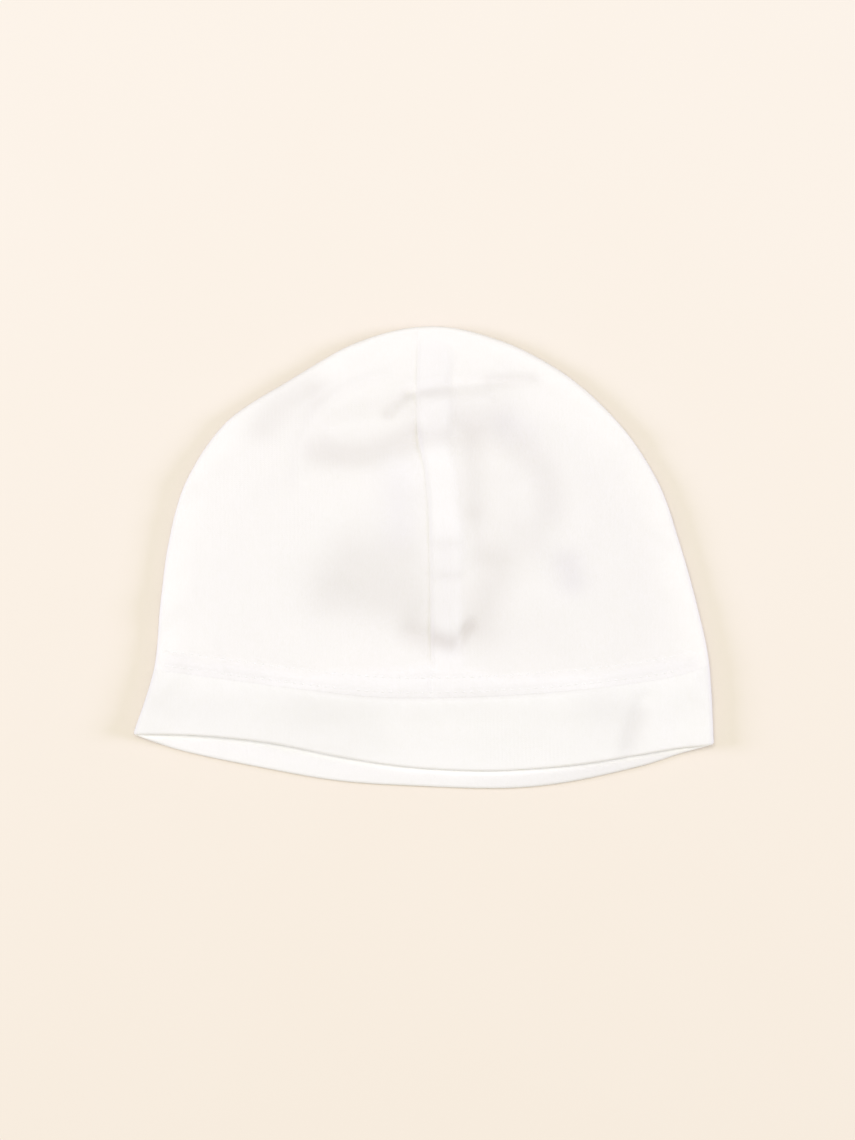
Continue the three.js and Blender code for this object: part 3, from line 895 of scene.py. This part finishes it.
def knit(finish):
    """Height of plain jersey stitches: columns of small Vs."""
    place = finish.node("ShaderNodeUVMap", {"uv_map": "cloth"})
    across, along = finish.split(place)
    leg_at = ((across / WALE).fraction() - 0.5).size()
    off_leg = (leg_at - 0.25) * 4
    leg = 1 - off_leg * off_leg
    loop = ((along / COURSE - leg_at * LEG_SLANT).fraction() * math.pi).sine()
    return leg * (LOOP_FLOOR + (1 - LOOP_FLOOR) * loop)


def jersey(name, thin, thick):
    """White cotton jersey: whiter where more cloth lies close under it, with painted light and
    shade.
    """
    finish = Finish(name)
    backed_and_shaded = finish.attribute("backing_and_painted_shade")
    cool = finish.attribute("coolness")
    mottle = finish.noise(CLOTH_MOTTLE_SIZE, 3.0)
    yarn = knit(finish)
    colour = finish.blend(backed_and_shaded, thin, thick, beyond=True)
    colour = finish.tint(colour, finish.blend(cool, (1, 1, 1, 1), COOL_TINT))
    # The knit's height also tones the colour: a little darker where the yarn lies low, painted
    # shade between the stitches.
    tone = CLOTH_TONE + CLOTH_MOTTLE * mottle + CLOTH_YARN_TONE * yarn
    colour = finish.tint(colour, finish.grey(tone))
    fuzz = finish.noise(FUZZ_SIZE, 3.0, 0.6)
    bump = finish.node("ShaderNodeBump", None,
                       {"Strength": 0.3, "Distance": 0.12 * MM, "Height": yarn + 0.5 * fuzz})
    shader = finish.node("ShaderNodeBsdfPrincipled", None, {
        "Base Color": colour, "Roughness": 0.88 + 0.08 * fuzz, "Normal": bump,
        "Specular IOR Level": 0.2, "Sheen Weight": 0.05, "Sheen Roughness": 0.5,
    })
    return finish.done(shader)


def cotton_thread():
    """White sewing thread with its twist."""
    finish = Finish("sewing_thread")
    place = finish.node("ShaderNodeTexCoord", output="Object")
    x = finish.node("ShaderNodeSeparateXYZ", None, {0: place})
    y = finish.node("ShaderNodeSeparateXYZ", None, {0: place}, output=1)
    twist = ((x + y) * (2 * math.pi / (THREAD_TWIST * MM))).sine() * 0.5 + 0.5
    # Darker in the twist's grooves and lighter on its ridges: painted shade along the twist.
    colour = finish.blend(twist, *THREAD_COLOURS)
    bump = finish.node("ShaderNodeBump", None,
                       {"Strength": 0.4, "Distance": 0.05 * MM, "Height": twist})
    shader = finish.node("ShaderNodeBsdfPrincipled", None, {
        "Base Color": colour, "Roughness": 0.7, "Normal": bump, "Specular IOR Level": 0.3,
    })
    return finish.done(shader)


def table_top():
    """The plain cream surface that the cap lies on."""
    finish = Finish("cream_table")
    place = finish.node("ShaderNodeTexCoord", output="Object")
    across = finish.node("ShaderNodeSeparateXYZ", None, {0: place}, output=1)
    mottle = finish.noise(TABLE_MOTTLE_SIZE)
    # Painted light: lighter towards the back, nearer the window.
    tone = across / TABLE_TONE_LENGTH + TABLE_TONE_MIDDLE + TABLE_MOTTLE * mottle
    colour = finish.blend(tone, *TABLE_COLOURS)
    shader = finish.node("ShaderNodeBsdfPrincipled", None,
                         {"Base Color": colour, "Roughness": 0.9, "Specular IOR Level": 0.1})
    finish.done(shader)
    mesh = bpy.data.meshes.new("table_top")
    half = TABLE_HALF_WIDTH
    mesh.from_pydata([(-half, -half, 0), (half, -half, 0), (half, half, 0), (-half, half, 0)], [],
                     [(0, 1, 2, 3)])
    mesh.materials.append(finish.material)
    floor = bpy.data.objects.new("table_top", mesh)
    bpy.context.scene.collection.objects.link(floor)


def area_light(name, place, size, power, colour):
    """A round soft light aimed at the cap."""
    data = bpy.data.lights.new(name, "AREA")
    data.shape = "DISK"
    data.size = size
    data.energy = power
    data.color = colour
    light = bpy.data.objects.new(name, data)
    light.location = place
    light.rotation_euler = (-Vector(place)).to_track_quat("-Z", "Y").to_euler()
    bpy.context.scene.collection.objects.link(light)


def lights():
    """The room's light, the window's, a softer one at each side, and plain colours."""
    scene = bpy.context.scene
    world = bpy.data.worlds.new("soft_room")
    scene.world = world
    world.use_nodes = True
    background = world.node_tree.nodes["Background"]
    background.inputs["Color"].default_value = ROOM_COLOUR
    background.inputs["Strength"].default_value = ROOM_STRENGTH
    area_light("window_light", WINDOW_PLACE, WINDOW_SIZE, WINDOW_POWER, WINDOW_COLOUR)
    for side, name in ((-1, "left_softbox"), (1, "right_softbox")):
        x, y, z = SOFTBOX_PLACE
        area_light(name, (side * x, y, z), SOFTBOX_SIZE, SOFTBOX_POWER, SOFTBOX_COLOUR)
    scene.view_settings.view_transform = "Standard"
    scene.view_settings.look = "None"
    scene.view_settings.exposure = 0.0
    scene.view_settings.gamma = 1.0


def camera():
    """The photo's view, from straight above."""
    data = bpy.data.cameras.new("camera")
    data.sensor_fit = "VERTICAL"
    data.angle = 2 * math.atan(VIEW_HEIGHT / 2 / CAMERA_HEIGHT)
    data.clip_end = 10
    view = bpy.data.objects.new("camera", data)
    view.location = (*VIEW_CENTRE, CAP_PLANE + CAMERA_HEIGHT)
    bpy.context.scene.collection.objects.link(view)
    bpy.context.scene.camera = view


camera()
lights()
table_top()
crown_finish = jersey("crown_jersey", *CROWN_COLOURS)
band_finish = jersey("band_jersey", *BAND_COLOURS)
crown_panel(-1, crown_finish)
crown_panel(1, crown_finish)
band_strip(band_finish)
band_stitching(cotton_thread())
